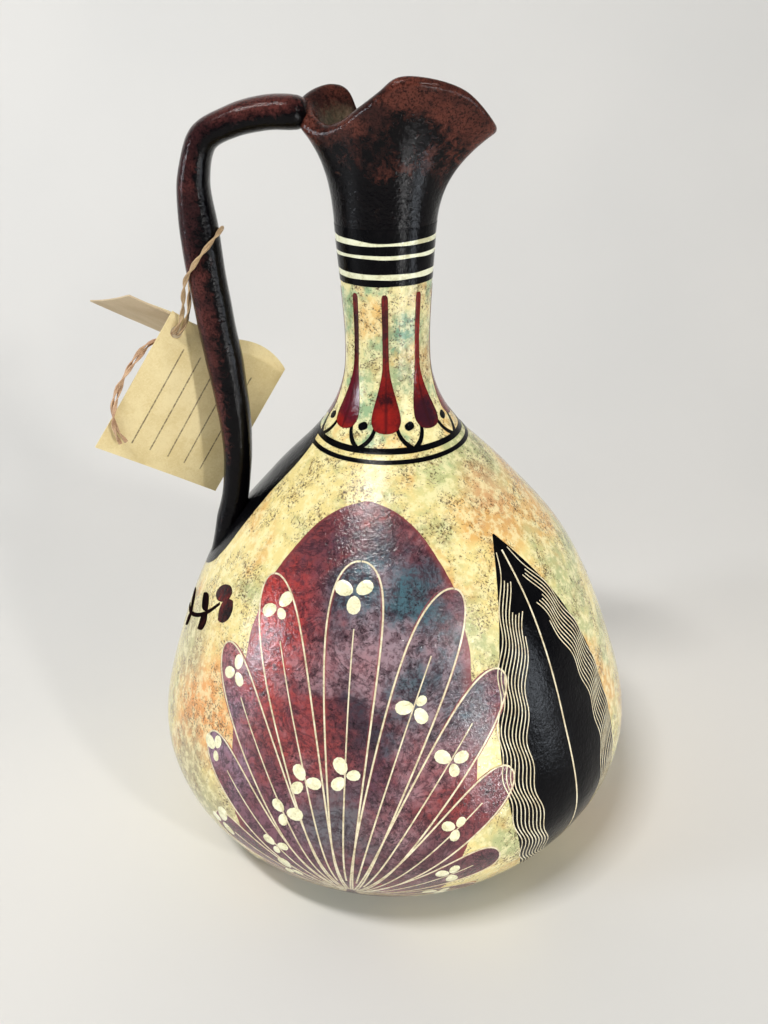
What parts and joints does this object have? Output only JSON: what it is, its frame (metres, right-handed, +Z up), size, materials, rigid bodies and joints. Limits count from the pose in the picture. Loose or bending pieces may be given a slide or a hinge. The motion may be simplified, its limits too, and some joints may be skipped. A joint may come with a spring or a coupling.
{
  "type": "pottery vase",
  "caption": "Painted earthenware jug-shaped vase with a wide belly, slim neck, pinched beaked mouth, pulled handle and a folded paper tag hung on twine.",
  "frame": {"origin": "on the jug's axis where its flat foot stands on the table", "axes": "+Z up along the jug's axis, +X towards the spout with the handle on the -X side, +Y away from the picture's camera"},
  "size_m": [0.1861, 0.1676, 0.2496],
  "materials": {
    "painted_clay": "varnished paint over mottled slip",
    "cream_clay": "varnished mottled cream slip with painted lines",
    "rust_black_clay": "varnished black with rust mottling",
    "card": "uncoated cream card",
    "twine": "twisted natural fibre"
  },
  "bodies": {
    "jug": {"lower_belly": "painted_clay", "upper_belly": "painted_clay", "neck_tube": "cream_clay", "beaked_mouth": "rust_black_clay", "handle": "rust_black_clay"},
    "loop": {"twine_loop": "twine"},
    "tag": {"tag_front_leaf": "card", "twine_tail": "twine"},
    "rear_leaf": {"tag_rear_leaf": "card"}
  },
  "joints": [
    {"name": "tag_swing", "type": "hinge", "parent": "jug", "child": "loop", "pos_m": [-0.053, 0, 0.19], "axis": [-0.0823, 0, 0.9966], "range_deg": [-30, 75]},
    {"name": "tag_tilt", "type": "hinge", "parent": "loop", "child": "tag", "pos_m": [-0.06581, 0.00192, 0.1789], "axis": [-0.3066, 0.9492, 0.0715], "range_deg": [-5, 35]},
    {"name": "tag_fold", "type": "hinge", "parent": "tag", "child": "rear_leaf", "pos_m": [-0.0668, 0.0014, 0.1851], "axis": [0.7861, 0.2948, -0.5432], "range_deg": [-30, 60]}
  ]
}
